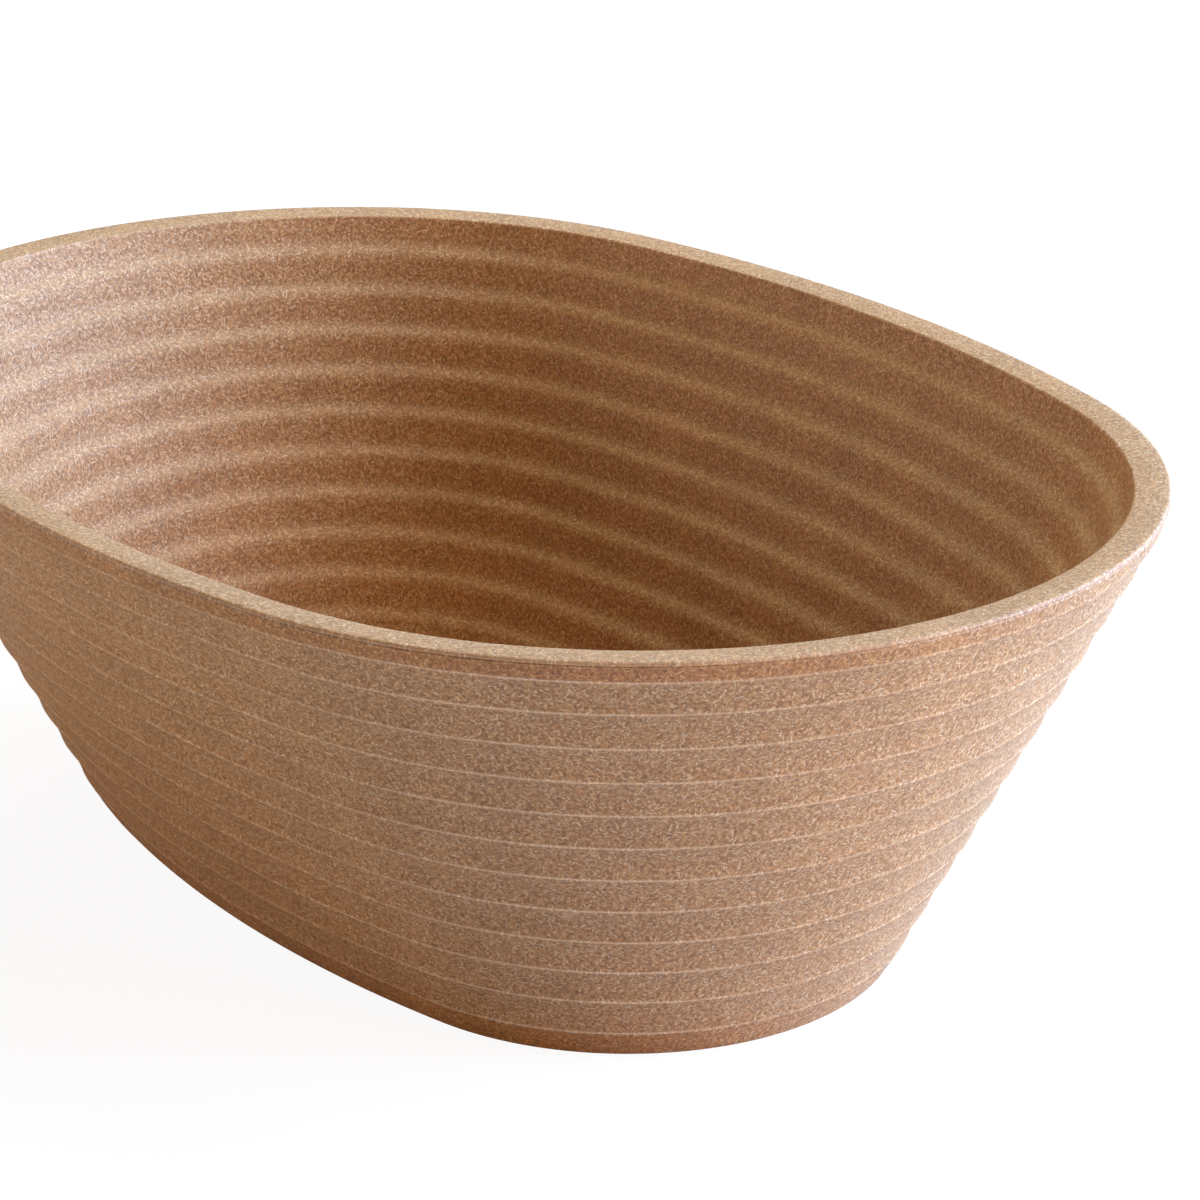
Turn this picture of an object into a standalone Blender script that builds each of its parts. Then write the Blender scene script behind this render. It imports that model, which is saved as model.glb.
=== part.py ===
"""Oval proofing basket, moulded in one piece from wood-fibre composite.

One closed shell: an oval bowl whose wall leans out from the base to the rim. Outside,
the wall is a stack of shallow hollow bands that meet in crests. Inside, ridges mark
the dough, and low rings lie on the floor.

Metres, +Z up, +X along the length. The origin is the middle of the underside.
"""

import math

import bmesh
import bpy

# The oval at the rim
LENGTH = 0.2786
WIDTH = 0.1984
HEIGHT = 0.0900
SIDE_BOW = 0.0052           # how far the long sides bow out past straight ones

# The wall and the floor
BASE_INSET = 0.0445         # how far the base's edge lies inside the rim's edge
WALL_THICKNESS = 0.0056     # square to the wall
FLOOR_THICKNESS = 0.0060
FLOOR_CORNER = 0.0060       # rounding between wall and floor

# The rim's lip above the topmost crest, and the foot below the lowest one
LIP_HEIGHT = 0.00345
LIP_OVERHANG = 0.0011       # how far the rim's edge stands out past the draft line below it
RIM_EDGE = 0.0008           # rounding of the rim's two edges
FOOT_HEIGHT = 0.0058
FOOT_EDGE = 0.0008          # rounding under the foot

# The bands outside, measured from the wall's straight draft line
BAND_PITCH = 0.00734
BAND_CREST = 0.0004         # the crest between two bands stands this far out
BAND_HOLLOW = 0.0001        # a band's middle lies this far in

# The ridges inside, measured from the inner draft line
FIRST_RIDGE = 0.0071        # from the rim's top down to the first ridge
RIDGE_PITCH = 0.00769
RIDGE_CREST = 0.0005        # a ridge stands this far into the bowl
RIDGE_GROOVE = 0.0003       # the groove between two ridges lies this far back

# The rings on the floor
RING_PITCH = 0.0077
RING_CREST = 0.0006
SMOOTH_WIDTH = 0.0440       # width kept smooth in the middle of the floor

# How finely the curves are divided
END_STEPS = 24
SIDE_STEPS = 8
BAND_STEPS = 2
CORNER_STEPS = 3

# Moulded wood-fibre composite: light tan brown, dull
COMPOSITE_COLOUR = (0.434, 0.270, 0.168, 1.0)
COMPOSITE_ROUGHNESS = 0.72

# Values that follow from the sizes
LONG_HALF = max(LENGTH, WIDTH) / 2
SHORT_HALF = min(LENGTH, WIDTH) / 2
END_RADIUS = SHORT_HALF - SIDE_BOW
END_CENTRE = LONG_HALF - END_RADIUS
SIDE_RADIUS = (END_CENTRE**2 + SHORT_HALF**2 - END_RADIUS**2) / (2 * SIDE_BOW)
SIDE_CENTRE = SHORT_HALF - SIDE_RADIUS
LIP_BOTTOM = HEIGHT - LIP_HEIGHT
DRAFT_SLOPE = (BASE_INSET - LIP_OVERHANG) / LIP_BOTTOM
WALL_RUN = WALL_THICKNESS * math.hypot(1, DRAFT_SLOPE)


def clear_scene():
    """Remove every object, so that only the basket is left."""
    for old in list(bpy.data.objects):
        bpy.data.objects.remove(old, do_unlink=True)


def outer_inset(height):
    """How far the outer draft line lies inside the rim's edge."""
    return BASE_INSET - DRAFT_SLOPE * height


def inner_inset(height):
    """How far the inner draft line lies inside the rim's edge."""
    return outer_inset(height) + WALL_RUN


def steps_down(top, bottom, pitch):
    """Heights from top to bottom a pitch apart; the lowest step takes up the rest."""
    count = max(1, round((top - bottom) / pitch))
    return [top - pitch * step for step in range(count)] + [bottom]


def scallops(inset_at, heights, edge, middle):
    """Profile points from the first height to the last, as arcs between the heights.

    At the heights the profile lies edge further in than the draft line, and halfway
    between two of them it lies middle further in. A value below zero lies further out.
    """
    points = []
    for start, end in zip(heights, heights[1:]):
        for step in range(BAND_STEPS):
            share = step / BAND_STEPS
            height = start + (end - start) * share
            arc = 4 * share * (1 - share)
            points.append((inset_at(height) + edge + (middle - edge) * arc, height))
    points.append((inset_at(heights[-1]) + edge, heights[-1]))
    return points


def rounded(start, corner, end, steps):
    """Points of the curve that leaves start and reaches end, both towards corner."""
    points = []
    for step in range(steps + 1):
        share = step / steps
        weights = ((1 - share) ** 2, 2 * share * (1 - share), share**2)
        points.append(tuple(
            sum(weight * point[axis] for weight, point in zip(weights, (start, corner, end)))
            for axis in (0, 1)
        ))
    return points


def outer_profile():
    """(inset, height) points from under the foot, up the bands, to the rim's top."""
    foot = rounded(
        (BASE_INSET + FOOT_EDGE, 0),
        (BASE_INSET, 0),
        (outer_inset(FOOT_EDGE), FOOT_EDGE),
        2,
    )
    crests = steps_down(LIP_BOTTOM, FOOT_HEIGHT, BAND_PITCH)
    bands = scallops(outer_inset, crests[::-1], -BAND_CREST, BAND_HOLLOW)
    rim = rounded((0, HEIGHT - RIM_EDGE), (0, HEIGHT), (RIM_EDGE, HEIGHT), 2)
    return foot + bands + rim


def inner_profile():
    """(inset, height) points from the rim's top, down the ridges, to the floor's middle."""
    rim_inner = inner_inset(HEIGHT)
    rim = rounded(
        (rim_inner - RIM_EDGE, HEIGHT),
        (rim_inner, HEIGHT),
        (inner_inset(HEIGHT - RIM_EDGE), HEIGHT - RIM_EDGE),
        2,
    )
    corner_top = FLOOR_THICKNESS + FLOOR_CORNER
    ridges = steps_down(HEIGHT - FIRST_RIDGE, corner_top, RIDGE_PITCH)
    wall = scallops(inner_inset, ridges, RIDGE_CREST, -RIDGE_GROOVE)
    floor_edge = inner_inset(FLOOR_THICKNESS) + FLOOR_CORNER
    corner = rounded(
        wall[-1],
        (inner_inset(FLOOR_THICKNESS), FLOOR_THICKNESS),
        (floor_edge, FLOOR_THICKNESS),
        CORNER_STEPS,
    )
    return rim + wall[:-1] + corner + floor_rings(floor_edge)


def floor_rings(start):
    """Low rounded rings, side by side from start in towards the smooth middle."""
    room = SHORT_HALF - SMOOTH_WIDTH / 2 - start
    points = []
    for ring in range(int(room / RING_PITCH)):
        inset = start + RING_PITCH * ring
        points.append((inset + RING_PITCH / 2, FLOOR_THICKNESS + RING_CREST))
        points.append((inset + RING_PITCH, FLOOR_THICKNESS))
    return points


def oval(inset, height):
    """Points round the oval that lies inset inside the rim's edge, anticlockwise.

    Two end arcs and two side arcs run into one another. They keep their centres at
    every inset, and only their radii shrink.
    """
    join = math.atan2(-SIDE_CENTRE, END_CENTRE)
    half = []
    for step in range(END_STEPS):
        angle = -join + 2 * join * step / END_STEPS
        radius = END_RADIUS - inset
        half.append((END_CENTRE + radius * math.cos(angle), radius * math.sin(angle)))
    for step in range(SIDE_STEPS):
        angle = join + (math.pi - 2 * join) * step / SIDE_STEPS
        radius = SIDE_RADIUS - inset
        half.append((radius * math.cos(angle), SIDE_CENTRE + radius * math.sin(angle)))
    whole = half + [(-x, -y) for x, y in half]
    if WIDTH > LENGTH:
        whole = [(-y, x) for x, y in whole]
    return [(x, y, height) for x, y in whole]


def composite_material():
    """Matte tan composite, pressed from wood fibre and a binder."""
    material = bpy.data.materials.new("wood_fibre_composite")
    material.use_nodes = True
    shader = material.node_tree.nodes["Principled BSDF"]
    shader.inputs["Base Color"].default_value = COMPOSITE_COLOUR
    shader.inputs["Roughness"].default_value = COMPOSITE_ROUGHNESS
    shader.inputs["Metallic"].default_value = 0.0
    return material


def basket_shell():
    """The whole basket: the wall's profile carried round the oval, closed below and on the floor."""
    shell = bmesh.new()
    rings = []
    for inset, height in outer_profile() + inner_profile():
        rings.append([shell.verts.new(point) for point in oval(inset, height)])
    for ring, following in zip(rings, rings[1:]):
        for place, vertex in enumerate(ring):
            beside = (place + 1) % len(ring)
            shell.faces.new((vertex, ring[beside], following[beside], following[place]))
    shell.faces.new(reversed(rings[0]))
    shell.faces.new(rings[-1])
    mesh = bpy.data.meshes.new("basket_shell")
    shell.to_mesh(mesh)
    shell.free()
    mesh.shade_smooth()
    mesh.set_sharp_from_angle(angle=math.radians(22))
    mesh.materials.append(composite_material())
    basket = bpy.data.objects.new("basket_shell", mesh)
    bpy.context.scene.collection.objects.link(basket)
    return basket


clear_scene()
basket_shell()
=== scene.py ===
"""Looks of an oval proofing basket, moulded in one piece from wood-fibre composite.

The basket stands on a pale floor in soft studio light from its right, seen from above
one corner of its length. Metres, +Z up, +X along the length.
"""

import math

import bpy
import numpy as np
from mathutils import Matrix, Vector


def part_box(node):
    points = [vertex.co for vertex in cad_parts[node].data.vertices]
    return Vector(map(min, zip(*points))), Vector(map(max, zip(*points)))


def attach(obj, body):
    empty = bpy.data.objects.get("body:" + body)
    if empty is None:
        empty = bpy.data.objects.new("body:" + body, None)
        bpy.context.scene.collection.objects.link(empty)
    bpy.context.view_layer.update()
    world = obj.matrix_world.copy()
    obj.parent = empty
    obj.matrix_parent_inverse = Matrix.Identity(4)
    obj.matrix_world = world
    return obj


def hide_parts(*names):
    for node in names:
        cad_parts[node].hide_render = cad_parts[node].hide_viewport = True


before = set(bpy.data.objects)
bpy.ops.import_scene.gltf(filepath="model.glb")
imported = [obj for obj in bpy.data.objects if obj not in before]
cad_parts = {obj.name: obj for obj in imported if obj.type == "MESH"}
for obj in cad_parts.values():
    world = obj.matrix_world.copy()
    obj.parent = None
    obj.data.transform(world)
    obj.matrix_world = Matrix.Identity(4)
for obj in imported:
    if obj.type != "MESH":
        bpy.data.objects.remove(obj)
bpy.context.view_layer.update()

# Basket shell
# One oval moulding of wood-fibre composite, pressed hot between two halves of a mould and
# left uncoated. The turned mould leaves hollow bands between crests outside and ridges
# inside, and where its halves close, a hair of flash runs round under the rim's outer edge.

# The oval: two end arcs, and two bowed side arcs that run into them without a corner.
LOW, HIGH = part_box("basket_shell")
HALF_LENGTH = (HIGH.x - LOW.x) / 2
HALF_WIDTH = (HIGH.y - LOW.y) / 2
HEIGHT = HIGH.z
SIDE_BOW = 0.0052
END_RADIUS = HALF_WIDTH - SIDE_BOW
END_CENTRE = HALF_LENGTH - END_RADIUS
SIDE_RADIUS = (END_CENTRE**2 + HALF_WIDTH**2 - END_RADIUS**2) / (2 * SIDE_BOW)
SIDE_CENTRE = HALF_WIDTH - SIDE_RADIUS
END_COLUMNS = 84
SIDE_COLUMNS = 38

# The leaning wall: insets are measured from the rim's outline, drops from the rim's top.
BASE_INSET = 0.0445
DRAFT_DROP = 0.00345
DRAFT_TOP = HEIGHT - DRAFT_DROP
LIP_OVERHANG = 0.0011
LIP_DROP = 0.0041
LIP_BOTTOM = HEIGHT - LIP_DROP
DRAFT_SLOPE = (BASE_INSET - LIP_OVERHANG) / DRAFT_TOP
WALL_THICKNESS = 0.0056
WALL_RUN = WALL_THICKNESS * math.hypot(1, DRAFT_SLOPE)

# The foot and the outer bands, with rows set closer together near each crest.
FOOT_EDGE = 0.0008
FOOT_EDGE_ROWS = 6
FOOT_HEIGHT = 0.0054
BAND_PITCH = 0.00734
BAND_CREST = 0.0003
BAND_HOLLOW = 0.0001
BEAD_PROUD = 0.00005
BEAD_WIDTH = 0.00032
CREST_STEPS = np.array([0, 0.15, 0.3, 0.45, 0.65, 1.0, 1.8, 2.7]) / 1000

# The flash, the groove over it, and the rim.
FLASH_DROP = 0.00075
FLASH_HEIGHT = 0.0003
FLASH_PROUD = 0.00006
FLASH_GROOVE = 0.00018
RIM_OUTER_EDGE = 0.00065
RIM_OUTER_ROWS = 7
RIM_FALL = 0.0004
RIM_TOP_ROWS = 8
RIM_INNER_EDGE = 0.0005
RIM_INNER_ROWS = 6

# The inner ridges.
FIRST_RIDGE = 0.0068
RIDGE_PITCH = 0.00769
RIDGE_STEP = 0.0019
RIDGE_WIDTH = 0.00105
RIDGE_SET_BACK = 0.0001
RIDGE_ROWS = 14

# The floor.
FLOOR_THICKNESS = 0.006
FLOOR_CORNER = 0.006
FLOOR_CORNER_ROWS = 9
RING_PITCH = 0.0077
RING_CREST = 0.0006
RING_ROWS = 8
SMOOTH_WIDTH = 0.044

# Unevenness of the pressed fibre.
WAVER = 0.00003
WAVER_REACH = 2
WAVER_SEED = 11

# Where the wear, the painted highlight and the binder's skin with its painted shade lie, and their
# shares: 0 is none and 1 is full.
# The corner where the painted highlight and painted shade are strongest, the right front one; they
# are as strong at the corner opposite.
PAINTED_LIGHT_CORNER = math.radians(-47)
# The crests' pale lines, the rim's outer edge and the inner ridges are paler partly from wear and
# partly from painted highlight.
PALE_LINE_RISE = 0.0003
PALE_LINE_WIDTH = 0.00019
CREST_WEAR_AND_HIGHLIGHT = 1.0
LEAST_CORNER_WEAR_AND_HIGHLIGHT = 0.28
FLASH_WEAR = 0.1
EDGE_WEAR_AND_HIGHLIGHT = 0.55
RIM_WEAR = 0.21
RIDGE_WEAR_AND_HIGHLIGHT = 0.185
# The skin is smoother, and its tint is painted shade, warmer and darker: at the foot near the
# floor, on the lip, flash, groove and rim's outer edge, and above each crest.
FOOT_SKIN_AND_SHADE = 0.95
CREST_SKIN_AND_SHADE = 0.25
LIP_SKIN_AND_SHADE = 1.0
FLASH_SKIN_AND_SHADE = 0.5
GROOVE_SKIN_AND_SHADE = 1.0
EDGE_SKIN_AND_SHADE = 0.9


def outer_inset(height):
    """Inset of the outer wall's straight draft line: it grows steadily from lip to base."""
    return BASE_INSET - DRAFT_SLOPE * height


def inner_inset(height):
    """Inset of the inner draft line: the outer one, moved in by the wall's thickness."""
    return outer_inset(height) + WALL_RUN


def rounded(start, corner, end, rows):
    """Rows of the parabola that leaves start towards corner and reaches end from corner."""
    share = np.linspace(0, 1, rows)[:, None]
    start, corner, end = (np.array(point) for point in (start, corner, end))
    return (1 - share) ** 2 * start + 2 * share * (1 - share) * corner + share**2 * end


def bead(away):
    """How far the bead on a crest stands out, this far from the crest: a bell curve."""
    return BEAD_PROUD * np.exp(-((away / BEAD_WIDTH) ** 2))


def crest_wear_and_highlight(above):
    """Share of wear and painted highlight this far above a crest: a pale line along a bell curve
    that peaks just above it.
    """
    return CREST_WEAR_AND_HIGHLIGHT * np.exp(-(((above - PALE_LINE_RISE) / PALE_LINE_WIDTH) ** 2))


def wall_rows(inset, height, wear_and_highlight=0, corner_wear_and_highlight=0, skin_and_shade=0):
    """Rows of the wall: inset, height, wear and painted highlight even round the oval, wear and
    painted highlight that grow towards two corners, and skin with its painted shade.
    """
    return np.column_stack(np.broadcast_arrays(inset, height, wear_and_highlight, corner_wear_and_highlight, skin_and_shade))


def foot_rows():
    """The foot: a rounded lower edge, then a straight line out to the first crest's bead."""
    edge_top = (outer_inset(FOOT_EDGE), FOOT_EDGE)
    edge = rounded((BASE_INSET + FOOT_EDGE, 0), (BASE_INSET, 0), edge_top, FOOT_EDGE_ROWS)
    height = FOOT_HEIGHT - CREST_STEPS[:0:-1]
    first_crest = outer_inset(FOOT_HEIGHT) - BAND_CREST
    inset = np.interp(height, (FOOT_EDGE, FOOT_HEIGHT), (edge_top[0], first_crest))
    side = np.column_stack([inset - bead(FOOT_HEIGHT - height), height])
    # The foot's skin tint is painted shade, for the shade near the floor.
    return wall_rows(*np.vstack([edge, side]).T, skin_and_shade=FOOT_SKIN_AND_SHADE)


def band_rows():
    """The outer bands from the foot up to the lip.

    Each band is a hollow between its two crests, a parabola, and each crest carries a bead. The
    binder's skin, whose tint is painted shade that warms and darkens the band above each crest,
    fades up the band with the cube of what is left of it.
    """
    count = round((DRAFT_TOP - FOOT_HEIGHT) / BAND_PITCH)
    crest = np.append(FOOT_HEIGHT, DRAFT_TOP - BAND_PITCH * np.arange(count)[::-1])
    crest[-1] = LIP_BOTTOM
    low, high = crest[:-1, None], crest[1:, None]
    height = np.hstack([low + CREST_STEPS, (low + high) / 2, high - CREST_STEPS[:0:-1]])
    rise = np.append((height - low) / (high - low), 1)
    height = np.append(height, LIP_BOTTOM)
    above = height - crest[np.abs(height[:, None] - crest).argmin(axis=1)]
    hollow = (BAND_CREST + BAND_HOLLOW) * 4 * rise * (1 - rise)
    inset = outer_inset(height) - BAND_CREST + hollow - bead(above)
    skin_and_shade = CREST_SKIN_AND_SHADE * (1 - rise) ** 3
    # The pale line over each crest is partly wear and partly painted highlight.
    return wall_rows(inset, height, corner_wear_and_highlight=crest_wear_and_highlight(above), skin_and_shade=skin_and_shade)


def lip_rows():
    """The lip: a straight line out from its bead to the flash, and the groove over that.

    The flash stands out along the middle third of its height.
    """
    flash_top = HEIGHT - FLASH_DROP
    flash_foot = flash_top - FLASH_HEIGHT
    flash_height = np.array([flash_foot + FLASH_HEIGHT / 3, flash_top - FLASH_HEIGHT / 3])
    height = np.append(LIP_BOTTOM + CREST_STEPS[1:-1], flash_foot)
    above = height - LIP_BOTTOM
    lip_foot = outer_inset(LIP_BOTTOM) - BAND_CREST
    inset = np.interp(height, (LIP_BOTTOM, flash_foot), (lip_foot, FLASH_PROUD)) - bead(above)
    # The skin's tint on the lip, the flash and the groove is painted shade, and the pale line over
    # the lip's bead is partly wear and partly painted highlight.
    return np.vstack([
        wall_rows(inset, height, corner_wear_and_highlight=crest_wear_and_highlight(above), skin_and_shade=LIP_SKIN_AND_SHADE),
        wall_rows(0, flash_height, wear_and_highlight=FLASH_WEAR, skin_and_shade=FLASH_SKIN_AND_SHADE),
        wall_rows(FLASH_PROUD + FLASH_GROOVE, flash_top, skin_and_shade=GROOVE_SKIN_AND_SHADE),
    ])


def rim_rows(wall_top):
    """The rim: a rounded outer edge, a top that falls inwards along a parabola, an inner edge.

    Over the outer edge the rim's wear grows steadily, while the corners' wear and painted
    highlight and the skin with its painted shade fade as steadily. The inner edge ends just short
    of the inner wall's top.
    """
    edge_foot = (FLASH_PROUD, HEIGHT - RIM_OUTER_EDGE)
    edge_top = (FLASH_PROUD + RIM_OUTER_EDGE, HEIGHT)
    edge = rounded(edge_foot, (FLASH_PROUD, HEIGHT), edge_top, RIM_OUTER_ROWS)
    inner_height = HEIGHT - RIM_FALL
    inner_start = wall_top[0] - RIM_INNER_EDGE
    inner_edge = rounded(
        (inner_start, inner_height), (wall_top[0], inner_height), wall_top, RIM_INNER_ROWS
    )[:-1]
    share = np.linspace(0, 1, RIM_TOP_ROWS)[1:-1]
    inset = edge[-1, 0] + (inner_start - edge[-1, 0]) * share
    top = np.column_stack([inset, HEIGHT - RIM_FALL * share**2])
    return np.vstack([
        wall_rows(
            *edge.T,
            wear_and_highlight=np.linspace(0, RIM_WEAR, RIM_OUTER_ROWS),
            corner_wear_and_highlight=np.linspace(EDGE_WEAR_AND_HIGHLIGHT, 0, RIM_OUTER_ROWS),
            skin_and_shade=np.linspace(EDGE_SKIN_AND_SHADE, 0, RIM_OUTER_ROWS),
        ),
        wall_rows(*np.vstack([top, inner_edge]).T, wear_and_highlight=RIM_WEAR),
    ])


def ridge_rows():
    """The inner ridges from the rim down to the floor's corner.

    Each ridge is a soft ledge: the wall steps in along a hyperbolic tangent, and is steeper by as
    much in between, so that it keeps to its draft line. Wear and painted highlight follow the
    ledge's slope, palest where the ledge faces up.
    """
    top = HEIGHT - RIM_FALL - RIM_INNER_EDGE
    bottom = FLOOR_THICKNESS + FLOOR_CORNER
    height = np.linspace(top, bottom, round((top - bottom) / RIDGE_PITCH * RIDGE_ROWS))
    turn = (HEIGHT - FIRST_RIDGE - height) / RIDGE_PITCH
    below = (turn - np.round(turn)) * RIDGE_PITCH
    step = RIDGE_STEP * (np.tanh(below / RIDGE_WIDTH) / 2 - below / RIDGE_PITCH)
    wear_and_highlight = RIDGE_WEAR_AND_HIGHLIGHT / np.cosh(below / RIDGE_WIDTH) ** 2
    return wall_rows(inner_inset(height) - RIDGE_SET_BACK + step, height, wear_and_highlight=wear_and_highlight)


def floor_rows(wall_foot):
    """The rounded corner to the floor, then low rings, each one wave of a cosine.

    The rings lie side by side up to the floor's smooth middle.
    """
    foot = inner_inset(FLOOR_THICKNESS)
    start = foot + FLOOR_CORNER
    corner = rounded(
        wall_foot, (foot, FLOOR_THICKNESS), (start, FLOOR_THICKNESS), FLOOR_CORNER_ROWS
    )[1:]
    count = int((HALF_WIDTH - SMOOTH_WIDTH / 2 - start) / RING_PITCH)
    turn = np.arange(1, count * RING_ROWS + 1) / RING_ROWS
    height = FLOOR_THICKNESS + RING_CREST * (0.5 - 0.5 * np.cos(2 * math.pi * turn))
    rings = np.column_stack([start + RING_PITCH * turn, height])
    return wall_rows(*np.vstack([corner, rings]).T)


def oval_columns():
    """Arc centre, radius and direction of every column round the rim, anticlockwise.

    Two end arcs and two side arcs run into one another; a point inset from the rim lies
    on its own arc's radius, so all rows share these columns.
    """
    join = math.atan2(-SIDE_CENTRE, END_CENTRE)
    end = np.linspace(-join, join, END_COLUMNS, endpoint=False)
    side = np.linspace(join, math.pi - join, SIDE_COLUMNS, endpoint=False)
    angle = np.concatenate([end, side])
    centre = np.concatenate([
        np.tile((END_CENTRE, 0.0), (END_COLUMNS, 1)),
        np.tile((0.0, SIDE_CENTRE), (SIDE_COLUMNS, 1)),
    ])
    radius = np.repeat((END_RADIUS, SIDE_RADIUS), (END_COLUMNS, SIDE_COLUMNS))
    return (
        np.concatenate([centre, -centre]),
        np.tile(radius, 2),
        np.concatenate([angle, angle + math.pi]),
    )


def fibre_waver(rows, columns):
    """Seeded noise added up over its neighbours round the oval: the fibre is never quite even.

    The sum is divided by the root of their number, which keeps the noise's own spread.
    """
    noise = np.random.default_rng(WAVER_SEED).normal(size=(rows, columns))
    reach = range(-WAVER_REACH, WAVER_REACH + 1)
    return sum(np.roll(noise, step, axis=1) for step in reach) / math.sqrt(len(reach))


def basket_mesh():
    """The wall's rows carried round the oval, closed under the base and on the floor.

    The skin and its painted shade are strongest at two opposite corners, the right front one and
    the left back one: they follow the square of a cosine round the oval. The corners' wear and
    painted highlight grow from their least share to the whole with the cosine's eighth power.
    """
    ridges = ridge_rows()
    wall = np.vstack([
        foot_rows(),
        band_rows(),
        lip_rows(),
        rim_rows(ridges[0, :2]),
        ridges,
        floor_rows(ridges[-1, :2]),
    ])
    inset, height, wear_and_highlight, corner_wear_and_highlight, skin_and_shade = wall.T
    centre, radius, angle = oval_columns()
    rows, columns = len(inset), len(angle)
    waver = WAVER * fibre_waver(rows, columns)
    # The underside stays flat, and the rim keeps its outline.
    waver[(height < FOOT_EDGE) | (inset < RIM_OUTER_EDGE)] = 0
    reach = radius[None, :] - inset[:, None] + waver
    grid = np.empty((rows, columns, 3))
    grid[..., 0] = centre[:, 0] + reach * np.cos(angle)
    grid[..., 1] = centre[:, 1] + reach * np.sin(angle)
    grid[..., 2] = height[:, None]
    place = np.arange(rows * columns).reshape(rows, columns)
    beside = np.roll(place, -1, axis=1)
    quads = np.stack([place[:-1], beside[:-1], beside[1:], place[1:]], axis=-1).reshape(-1, 4)
    faces = quads.tolist() + [place[0, ::-1].tolist(), place[-1].tolist()]
    mesh = bpy.data.meshes.new("basket")
    mesh.from_pydata(grid.reshape(-1, 3), [], faces)
    mesh.shade_smooth()
    # Painted light and shade by place round the oval: strongest at the right front corner and the
    # one opposite.
    corner = np.cos(angle - PAINTED_LIGHT_CORNER) ** 2
    rubbed_and_lit = LEAST_CORNER_WEAR_AND_HIGHLIGHT + (1 - LEAST_CORNER_WEAR_AND_HIGHLIGHT) * corner**4
    shares = {
        "wear_and_highlight": wear_and_highlight[:, None] + corner_wear_and_highlight[:, None] * rubbed_and_lit,
        "skin_and_shade": skin_and_shade[:, None] * corner,
    }
    for name, share in shares.items():
        layer = mesh.attributes.new(name, "FLOAT", "POINT")
        layer.data.foreach_set("value", share.ravel().astype(np.float32))
    return mesh


# Wood-fibre composite, moulded and bare: short pale fibres and ground wood in a brown binder. It
# looks matte and grainy, with cream flecks about a millimetre long lying every way in the surface,
# a few dark specks, and paler wear along its edges, which also carries painted highlight on the
# crests, the rim's outer edge and the inner ridges. At the lip, at the foot and above each crest a
# skin of binder makes it a little smoother, and the skin's tint, painted shade, makes it warmer
# and deeper.
BINDER_COLOUR = "#9A6B40"
GROUND_WOOD_COLOUR = "#C7935F"
SPECK_COLOUR = "#553A28"
SPECK_STRENGTH = 0.55
FLECK_COLOUR = "#F6DCB4"
FLECK_STRENGTH = 0.56
FLECK_CORE = 0.5
FULL_FLECKS = 0.1
WEAR_AND_HIGHLIGHT_COLOUR = "#F8D9B2"
WEAR_AND_HIGHLIGHT_LEAST = 0.6
SKIN_SHADE_TINT = "#F6DFBB"
COMPOSITE_ROUGHNESS = 0.62
SKIN_ROUGHNESS = 0.42
COMPOSITE_IOR = 1.46
GRAIN_SIZE = 0.0007
GRAIN_DETAIL = 2.0
GRAIN_HARSHNESS = 0.6
GRAIN_SPAN = (0.36, 0.64)
RELIEF_STRENGTH = 0.35
RELIEF_HEIGHT = 0.00012
MOTTLE_SIZE = 0.014
MOTTLE_DETAIL = 3.0
MOTTLE_SPAN = (0.3, 0.7)
MOTTLE_DEPTH = 0.06


def linear(colour):
    """Linear red, green, blue and alpha of an sRGB hex colour, by the sRGB standard's curve."""
    shares = np.array([int(colour[place:place + 2], 16) / 255 for place in (1, 3, 5)])
    light = np.where(shares <= 0.04045, shares / 12.92, ((shares + 0.055) / 1.055) ** 2.4)
    return (*light.tolist(), 1.0)


def add_node(tree, kind, inputs, **settings):
    """Add a node to a tree with its settings, each input linked or set, and give its outputs."""
    made = tree.nodes.new(kind)
    for name, value in settings.items():
        setattr(made, name, value)
    for socket, value in inputs.items():
        if isinstance(value, bpy.types.NodeSocket):
            tree.links.new(value, made.inputs[socket])
        else:
            made.inputs[socket].default_value = value
    return made.outputs


composite = bpy.data.materials.new("wood_fibre_composite")
composite.use_nodes = True
tree = composite.node_tree
shader = tree.nodes["Principled BSDF"]
surface = add_node(tree, "ShaderNodeTexCoord", {})


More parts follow.
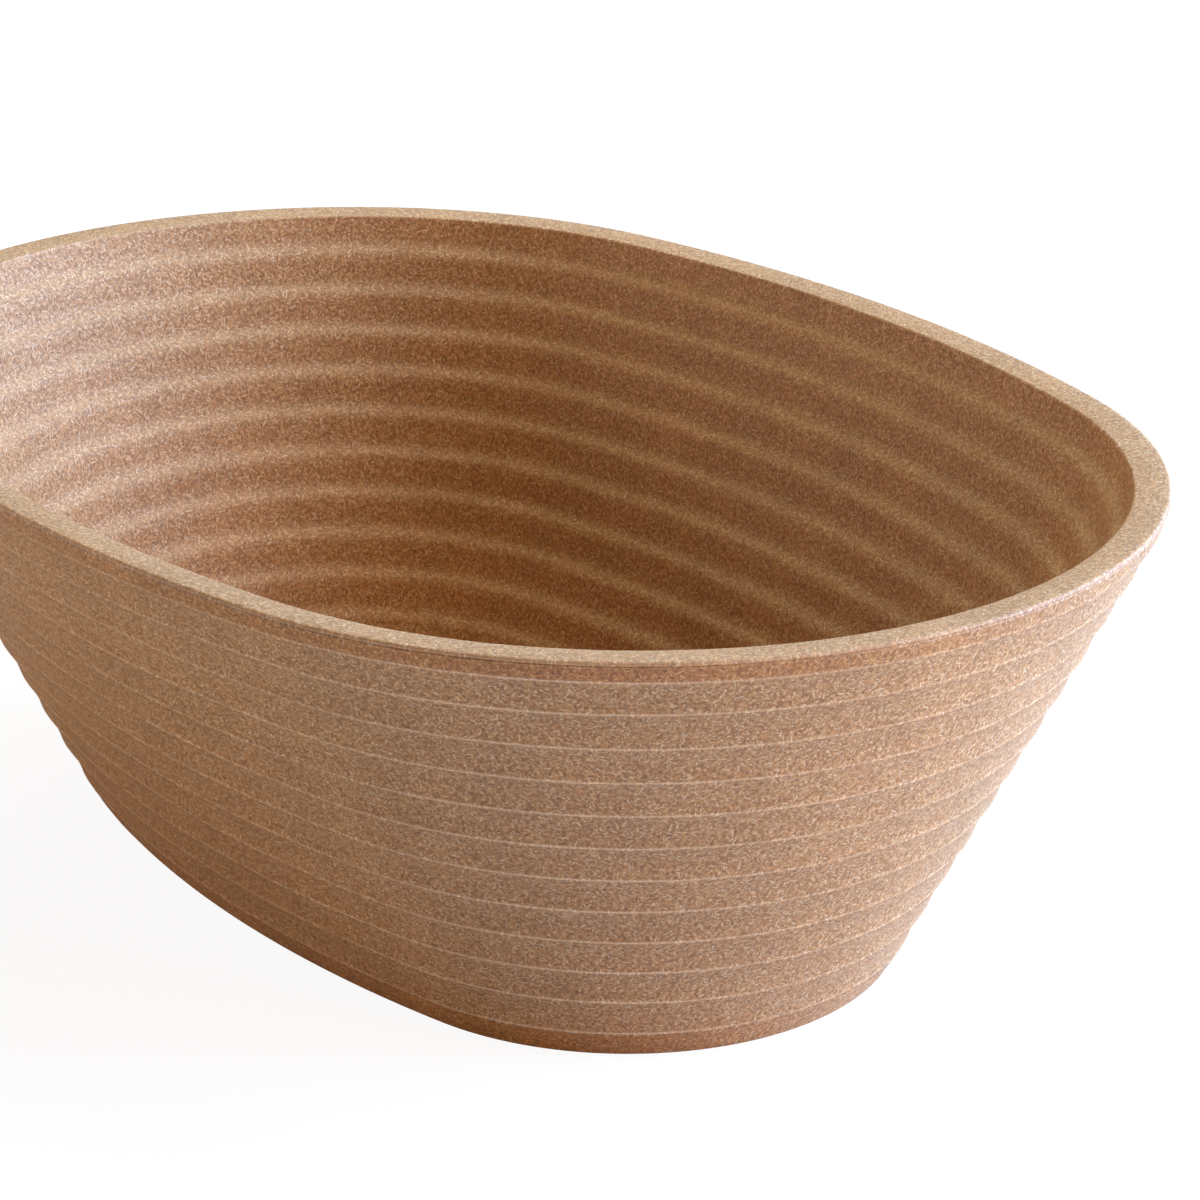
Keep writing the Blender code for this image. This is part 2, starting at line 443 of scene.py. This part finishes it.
def flecks(spacing, length, width, share, seed):
    """Mask of fibres lying in the surface, one stroke of random direction in each cell.

    Space is cut into cells round random points, spacing apart. The distance from a cell's
    point is split along a random direction in the surface and across it; the direction is
    the cell's random colour, less a half in each channel. The mask is full in the core of
    the ellipse with the fibre's half length and half width, and fades to 0 on it. Only a
    share of the cells hold a fibre, some paler than others.
    """
    scaled = add_node(
        tree,
        "ShaderNodeVectorMath",
        {0: surface["Object"], 1: (1 / spacing,) * 3, 2: (seed, seed, seed)},
        operation="MULTIPLY_ADD",
    )["Vector"]
    cell = add_node(tree, "ShaderNodeTexVoronoi", {"Vector": scaled, "Scale": 1.0})
    away = add_node(
        tree, "ShaderNodeVectorMath", {0: scaled, 1: cell["Position"]}, operation="SUBTRACT"
    )["Vector"]
    lean = add_node(
        tree, "ShaderNodeVectorMath", {0: cell["Color"], 1: (0.5, 0.5, 0.5)}, operation="SUBTRACT"
    )["Vector"]
    sideways = add_node(
        tree, "ShaderNodeVectorMath", {0: lean, 1: surface["Normal"]}, operation="CROSS_PRODUCT"
    )["Vector"]
    across = add_node(tree, "ShaderNodeVectorMath", {0: sideways}, operation="NORMALIZE")["Vector"]
    along = add_node(
        tree, "ShaderNodeVectorMath", {0: surface["Normal"], 1: across}, operation="CROSS_PRODUCT"
    )["Vector"]
    far_along = add_node(
        tree, "ShaderNodeVectorMath", {0: away, 1: along}, operation="DOT_PRODUCT"
    )["Value"]
    far_across = add_node(
        tree, "ShaderNodeVectorMath", {0: away, 1: across}, operation="DOT_PRODUCT"
    )["Value"]
    spot = add_node(tree, "ShaderNodeCombineXYZ", {"X": far_along, "Y": far_across})["Vector"]
    stretch = (2 * spacing / length, 2 * spacing / width, 0)
    spot = add_node(
        tree, "ShaderNodeVectorMath", {0: spot, 1: stretch}, operation="MULTIPLY"
    )["Vector"]
    distance = add_node(tree, "ShaderNodeVectorMath", {0: spot}, operation="LENGTH")["Value"]
    stroke = add_node(
        tree,
        "ShaderNodeMapRange",
        {"Value": distance, "From Min": 1.0, "From Max": FLECK_CORE, "To Min": 0.0, "To Max": 1.0},
    )["Result"]
    chance = add_node(tree, "ShaderNodeTexWhiteNoise", {"Vector": cell["Position"]})["Value"]
    present = add_node(
        tree,
        "ShaderNodeMapRange",
        {
            "Value": chance,
            "From Min": share,
            "From Max": FULL_FLECKS * share,
            "To Min": 0.0,
            "To Max": 1.0,
        },
    )["Result"]
    return add_node(tree, "ShaderNodeMath", {0: stroke, 1: present}, operation="MULTIPLY")["Value"]


grain = add_node(
    tree,
    "ShaderNodeTexNoise",
    {
        "Vector": surface["Object"],
        "Scale": 1 / GRAIN_SIZE,
        "Detail": GRAIN_DETAIL,
        "Roughness": GRAIN_HARSHNESS,
    },
)["Fac"]
grain = add_node(
    tree,
    "ShaderNodeMapRange",
    {"Value": grain, "From Min": GRAIN_SPAN[0], "From Max": GRAIN_SPAN[1]},
)["Result"]
mottle = add_node(
    tree,
    "ShaderNodeTexNoise",
    {"Vector": surface["Object"], "Scale": 1 / MOTTLE_SIZE, "Detail": MOTTLE_DETAIL},
)["Fac"]
mottle = add_node(
    tree,
    "ShaderNodeMapRange",
    {
        "Value": mottle,
        "From Min": MOTTLE_SPAN[0],
        "From Max": MOTTLE_SPAN[1],
        "To Min": 1 - MOTTLE_DEPTH,
        "To Max": 1 + MOTTLE_DEPTH,
    },
)["Result"]
fine_flecks = flecks(spacing=0.0011, length=0.0011, width=0.00033, share=0.85, seed=3.7)
more_flecks = flecks(spacing=0.0009, length=0.0007, width=0.00030, share=0.7, seed=11.3)
long_flecks = flecks(spacing=0.0022, length=0.0018, width=0.00036, share=0.6, seed=23.9)
dark_specks = flecks(spacing=0.0010, length=0.0008, width=0.00042, share=0.7, seed=37.1)
pale_flecks = add_node(
    tree, "ShaderNodeMath", {0: fine_flecks, 1: more_flecks}, operation="MAXIMUM"
)["Value"]
pale_flecks = add_node(
    tree, "ShaderNodeMath", {0: pale_flecks, 1: long_flecks}, operation="MAXIMUM"
)["Value"]
speck_share = add_node(
    tree, "ShaderNodeMath", {0: dark_specks, 1: SPECK_STRENGTH}, operation="MULTIPLY"
)["Value"]
fleck_share = add_node(
    tree, "ShaderNodeMath", {0: pale_flecks, 1: FLECK_STRENGTH}, operation="MULTIPLY"
)["Value"]

# The sockets of a colour mix: its mask, the colours where that is 0 and 1, and the result.
MASK, UNDER, OVER, MIXED = 0, 6, 7, 2
colour = linear(BINDER_COLOUR)
for mask, layer in (
    (grain, GROUND_WOOD_COLOUR),
    (speck_share, SPECK_COLOUR),
    (fleck_share, FLECK_COLOUR),
):
    colour = add_node(
        tree,
        "ShaderNodeMix",
        {MASK: mask, UNDER: colour, OVER: linear(layer)},
        data_type="RGBA",
    )[MIXED]
# The skin's tint is painted shade; the skin's lower roughness is real.
skin_and_shade = add_node(tree, "ShaderNodeAttribute", {}, attribute_name="skin_and_shade")["Fac"]
tinted = add_node(
    tree, "ShaderNodeVectorMath", {0: colour, 1: linear(SKIN_SHADE_TINT)[:3]}, operation="MULTIPLY"
)["Vector"]
colour = add_node(
    tree, "ShaderNodeMix", {MASK: skin_and_shade, UNDER: colour, OVER: tinted}, data_type="RGBA"
)[MIXED]

# Wear and the painted highlight lighten the pale fibres first, and the ground between them by a
# smaller share.
wear_and_highlight = add_node(tree, "ShaderNodeAttribute", {}, attribute_name="wear_and_highlight")["Fac"]
fleck_paling = add_node(
    tree, "ShaderNodeMapRange", {"Value": pale_flecks, "To Min": WEAR_AND_HIGHLIGHT_LEAST, "To Max": 1.0}
)["Result"]
wear_and_highlight_share = add_node(
    tree, "ShaderNodeMath", {0: wear_and_highlight, 1: fleck_paling}, operation="MULTIPLY"
)["Value"]
colour = add_node(
    tree,
    "ShaderNodeMix",
    {MASK: wear_and_highlight_share, UNDER: colour, OVER: linear(WEAR_AND_HIGHLIGHT_COLOUR)},
    data_type="RGBA",
)[MIXED]
colour = add_node(
    tree, "ShaderNodeVectorMath", {0: colour, "Scale": mottle}, operation="SCALE"
)["Vector"]
relief = add_node(
    tree,
    "ShaderNodeBump",
    {"Height": grain, "Strength": RELIEF_STRENGTH, "Distance": RELIEF_HEIGHT},
)["Normal"]
roughness = add_node(
    tree,
    "ShaderNodeMapRange",
    {"Value": skin_and_shade, "To Min": COMPOSITE_ROUGHNESS, "To Max": SKIN_ROUGHNESS},
)["Result"]
tree.links.new(colour, shader.inputs["Base Color"])
tree.links.new(relief, shader.inputs["Normal"])
tree.links.new(roughness, shader.inputs["Roughness"])
shader.inputs["IOR"].default_value = COMPOSITE_IOR

basket = bpy.data.objects.new("basket", basket_mesh())
bpy.context.scene.collection.objects.link(basket)
basket.data.materials.append(composite)
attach(basket, "root")
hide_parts("basket_shell")

# Ground
# A plain white floor, which only the camera sees, just above a pale grey table, which
# gives the basket its light from below.
GROUND_HALF = 6.0
FLOOR_COLOUR = "#FFFFFF"
FLOOR_SHARE = 0.14
FLOOR_GLOW = 0.92
TABLE_COLOUR = "#E0E0E0"
TABLE_DROP = 0.0003


def matt_ground(name, colour, share, glow, height):
    """A matt square at the given height that returns a share of the light, and glows."""
    corners = np.array([(-1, -1, 0), (1, -1, 0), (1, 1, 0), (-1, 1, 0)]) * GROUND_HALF
    mesh = bpy.data.meshes.new(name)
    mesh.from_pydata(corners + (0, 0, height), [], [(0, 1, 2, 3)])
    matt = bpy.data.materials.new(name)
    matt.use_nodes = True
    inputs = matt.node_tree.nodes["Principled BSDF"].inputs
    inputs["Base Color"].default_value = (*(share * value for value in linear(colour)[:3]), 1)
    inputs["Roughness"].default_value = 1.0
    inputs["Specular IOR Level"].default_value = 0.0
    inputs["Emission Color"].default_value = linear(colour)
    inputs["Emission Strength"].default_value = glow
    mesh.materials.append(matt)
    ground = bpy.data.objects.new(name, mesh)
    bpy.context.scene.collection.objects.link(ground)
    return ground


floor = matt_ground("floor", FLOOR_COLOUR, FLOOR_SHARE, FLOOR_GLOW, 0)
floor.visible_diffuse = False
floor.visible_glossy = False
floor.visible_shadow = False
table = matt_ground("table", TABLE_COLOUR, 1, 0, -TABLE_DROP)
table.visible_camera = False

# Light
# A large cool window to the right and a warm lamp screen beside it, a long panel high
# behind, a weak low light at the left, and a pale horizon that fades upwards.
BASKET_MIDDLE = Vector((0, 0, 0.045))
WINDOW_PLACE = Vector((0.585, 0.969, 0.455))
WINDOW_SIZE = (1.3, 1.0)
WINDOW_COLOUR = "#70B6FF"
WINDOW_POWER = 61.0
LAMP_PLACE = Vector((0.943, 0.612, 0.495))
LAMP_SIZE = (1.3, 1.0)
LAMP_COLOUR = "#F9C765"
LAMP_POWER = 17.3
PANEL_PLACE = Vector((-0.305, 0.474, 1.105))
PANEL_SIZE = (1.4, 0.6)
PANEL_COLOUR = "#FFFDE7"
PANEL_POWER = 11.2
LEFT_PLACE = Vector((-0.715, -0.941, 0.253))
LEFT_SIZE = (1.2, 0.5)
LEFT_COLOUR = "#FFF0EA"
LEFT_POWER = 6.2
ROOM_COLOUR = "#FFF2EA"
ROOM_STRENGTH = 0.8
ROOM_TOP = 0.12


def soft_light(name, place, size, colour, power):
    """An even rectangle of light that faces the basket."""
    light = bpy.data.lights.new(name, "AREA")
    light.shape = "RECTANGLE"
    light.size, light.size_y = size
    light.color = linear(colour)[:3]
    light.energy = power
    lamp = bpy.data.objects.new(name, light)
    lamp.location = place
    lamp.rotation_euler = (BASKET_MIDDLE - place).to_track_quat("-Z", "Y").to_euler()
    bpy.context.scene.collection.objects.link(lamp)


soft_light("window", WINDOW_PLACE, WINDOW_SIZE, WINDOW_COLOUR, WINDOW_POWER)
soft_light("lamp", LAMP_PLACE, LAMP_SIZE, LAMP_COLOUR, LAMP_POWER)
soft_light("panel", PANEL_PLACE, PANEL_SIZE, PANEL_COLOUR, PANEL_POWER)
soft_light("left", LEFT_PLACE, LEFT_SIZE, LEFT_COLOUR, LEFT_POWER)
room = bpy.data.worlds.new("room")
room.use_nodes = True
direction = add_node(room.node_tree, "ShaderNodeTexCoord", {})["Generated"]
upwards = add_node(room.node_tree, "ShaderNodeSeparateXYZ", {"Vector": direction})["Z"]
faded = add_node(
    room.node_tree,
    "ShaderNodeMapRange",
    {
        "Value": upwards,
        "From Min": 0.0,
        "From Max": ROOM_TOP,
        "To Min": ROOM_STRENGTH,
        "To Max": 0.0,
    },
)["Result"]
backdrop = room.node_tree.nodes["Background"]
backdrop.inputs["Color"].default_value = linear(ROOM_COLOUR)
room.node_tree.links.new(faded, backdrop.inputs["Strength"])
bpy.context.scene.world = room
bpy.context.scene.view_settings.view_transform = "Standard"

# Camera
# A long lens above the right front corner, looking down a little past the rim. Its place
# and angles come from the outlines of the photographed basket.
CAMERA_PLACE = Vector((0.55875, -0.39576, 0.31297))
CAMERA_YAW = math.radians(52.776)
CAMERA_DIP = math.radians(21.001)
CAMERA_ROLL = math.radians(0.428)
CAMERA_LENS = 118.07
CAMERA_NEAR = 0.05
SENSOR_WIDTH = 36.0

camera = bpy.data.cameras.new("camera")
camera.lens = CAMERA_LENS
camera.sensor_fit = "HORIZONTAL"
camera.sensor_width = SENSOR_WIDTH
camera.clip_start = CAMERA_NEAR
camera_object = bpy.data.objects.new("camera", camera)
camera_object.matrix_world = (
    Matrix.Translation(CAMERA_PLACE)
    @ Matrix.Rotation(CAMERA_YAW, 4, "Z")
    @ Matrix.Rotation(math.pi / 2 - CAMERA_DIP, 4, "X")
    @ Matrix.Rotation(CAMERA_ROLL, 4, "Z")
)
bpy.context.scene.collection.objects.link(camera_object)
bpy.context.scene.camera = camera_object
